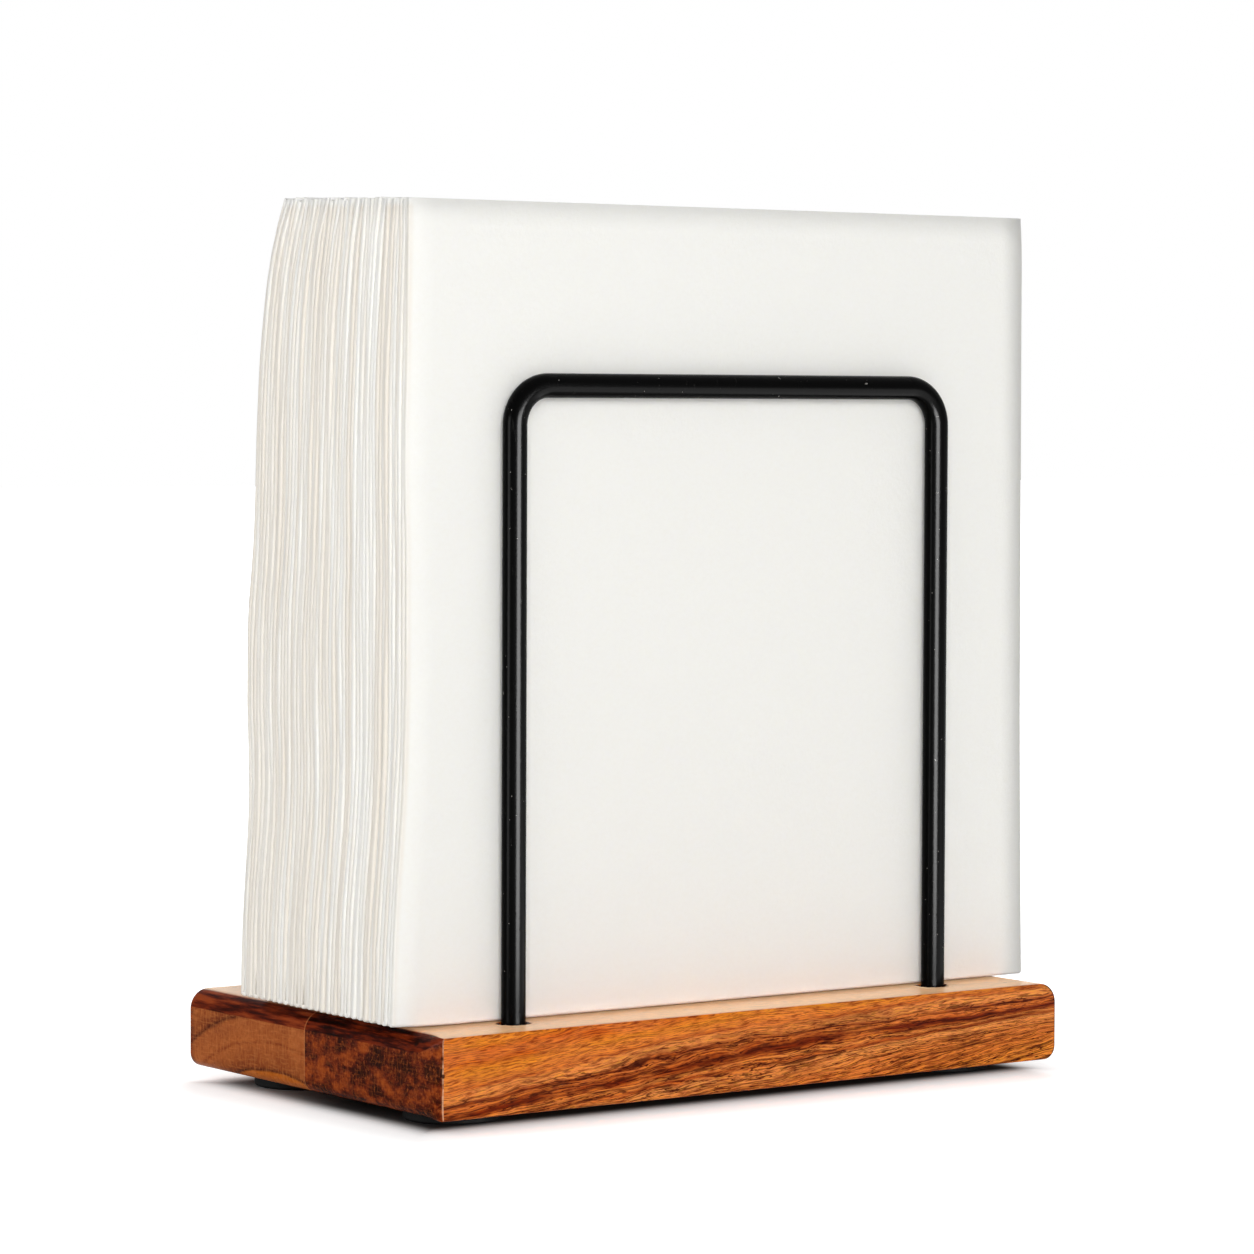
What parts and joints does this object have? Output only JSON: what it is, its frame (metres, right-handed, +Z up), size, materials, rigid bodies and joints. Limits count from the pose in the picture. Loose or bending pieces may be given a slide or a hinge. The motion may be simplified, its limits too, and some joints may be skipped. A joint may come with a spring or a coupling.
{
  "type": "napkin holder",
  "caption": "Rectangular wooden board on rubber feet with upright wire hoops at front and back that hold a pack of folded paper napkins standing between them.",
  "frame": {"origin": "middle of the surface that the holder stands on, straight below the middle of the board, at the bottom of the feet", "axes": "+X along the board to the right, seen from the front; +Y from the front hoop to the rear hoop; +Z up"},
  "size_m": [0.161, 0.096, 0.1846],
  "materials": {
    "front_stave_wood": "satin",
    "rear_stave_wood": "satin",
    "wire_coat": "satin",
    "foot_rubber": "matte",
    "napkin_paper": "matte"
  },
  "bodies": {
    "holder": {"front_stave": "front_stave_wood", "rear_stave": "rear_stave_wood", "front_hoop": "wire_coat", "rear_hoop": "wire_coat", "foot_front_left": "foot_rubber", "foot_front_right": "foot_rubber", "foot_rear_left": "foot_rubber", "foot_rear_right": "foot_rubber"},
    "napkin_pack": {"napkin_01": "napkin_paper", "napkin_02": "napkin_paper", "napkin_03": "napkin_paper", "napkin_04": "napkin_paper", "napkin_05": "napkin_paper", "napkin_06": "napkin_paper", "napkin_07": "napkin_paper", "napkin_08": "napkin_paper", "napkin_09": "napkin_paper", "napkin_10": "napkin_paper", "napkin_11": "napkin_paper", "napkin_12": "napkin_paper", "napkin_13": "napkin_paper", "napkin_14": "napkin_paper", "napkin_15": "napkin_paper", "napkin_16": "napkin_paper", "napkin_17": "napkin_paper", "napkin_18": "napkin_paper", "napkin_19": "napkin_paper", "napkin_20": "napkin_paper", "napkin_21": "napkin_paper", "napkin_22": "napkin_paper", "napkin_23": "napkin_paper", "napkin_24": "napkin_paper", "napkin_25": "napkin_paper"}
  },
  "joints": [
    {"name": "napkin_lift", "type": "slide", "parent": "holder", "child": "napkin_pack", "axis": [0, 0, 1], "range_m": [0, 0.14]}
  ]
}
